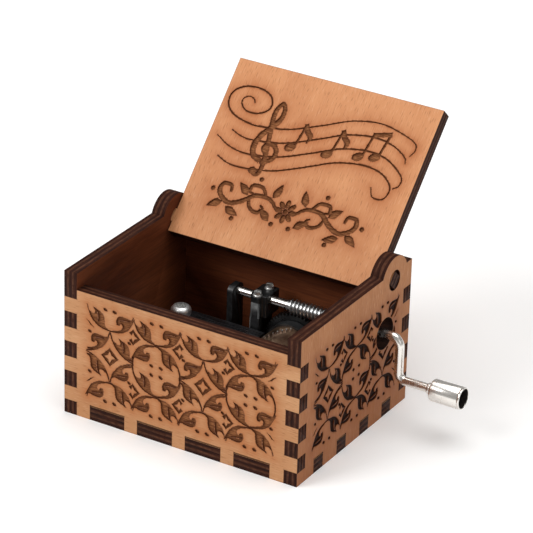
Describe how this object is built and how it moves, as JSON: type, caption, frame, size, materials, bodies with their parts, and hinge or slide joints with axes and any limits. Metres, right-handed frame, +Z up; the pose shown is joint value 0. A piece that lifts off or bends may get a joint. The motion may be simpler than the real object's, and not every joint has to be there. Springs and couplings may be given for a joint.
{
  "type": "music box",
  "caption": "Small finger-jointed plywood music box with an open lid on tab pivots, a bent wire hand crank with a turning knob, and a comb and pinned drum movement inside.",
  "frame": {"origin": "centre of the box's underside, on the surface that it stands on", "axes": "+X to the right wall, where the crank comes out; +Y to the back wall, where the lid pivots; +Z up"},
  "size_m": [0.0856, 0.0732, 0.0672],
  "materials": {
    "plywood": "laser-cut and engraved veneer plywood, dark burnt edges",
    "black_casting": "black painted zinc casting",
    "comb_steel": "ground spring steel",
    "chrome": "bright plated",
    "screw_steel": "bright zinc plated",
    "drum_brass": "dull nickelled brass",
    "lead": "dull lead",
    "black_plastic": "moulded, semi-gloss black"
  },
  "bodies": {
    "box": {"front_wall": "plywood", "back_wall": "plywood", "left_wall": "plywood", "right_wall": "plywood", "bottom_panel": "plywood", "mounting_screws": "screw_steel", "movement_bed": "black_casting", "end_bracket": "black_casting", "bearing_block": "black_casting", "bearing_cap": "black_casting", "bearing_screws": "screw_steel", "drum_bracket": "black_casting", "bracket_screws": "screw_steel", "comb": "comb_steel", "comb_screws": "chrome", "comb_weights": "lead"},
    "lid": {"lid": "plywood"},
    "crank": {"crank_wire": "chrome", "worm": "screw_steel", "knob_collar": "chrome", "knob_retainer": "chrome"},
    "knob": {"crank_knob": "chrome"},
    "cylinder": {"drum_sleeve": "drum_brass", "drum_pins": "screw_steel", "drum_front_cap": "black_casting", "drum_rear_flange": "black_casting", "drum_arbor": "screw_steel", "worm_wheel": "black_plastic"}
  },
  "joints": [
    {"name": "lid_hinge", "type": "hinge", "parent": "box", "child": "lid", "pos_m": [0, 0.0173, 0.03505], "axis": [1, 0, 0], "range_deg": [0, 133.2]},
    {"name": "crank_spin", "type": "hinge", "parent": "box", "child": "crank", "pos_m": [0, 0.0136, 0.0226], "axis": [1, 0, 0], "continuous": true},
    {"name": "knob_spin", "type": "hinge", "parent": "crank", "child": "knob", "pos_m": [0.049, 0.0136, 0.0118], "axis": [1, 0, 0], "continuous": true},
    {"name": "cylinder_spin", "type": "hinge", "parent": "box", "child": "cylinder", "pos_m": [0.0084, 0, 0.01288], "axis": [0, 1, 0], "continuous": true}
  ],
  "couplings": [
    {"joint": "cylinder_spin", "follows": "crank_spin", "ratio": -0.019608}
  ]
}
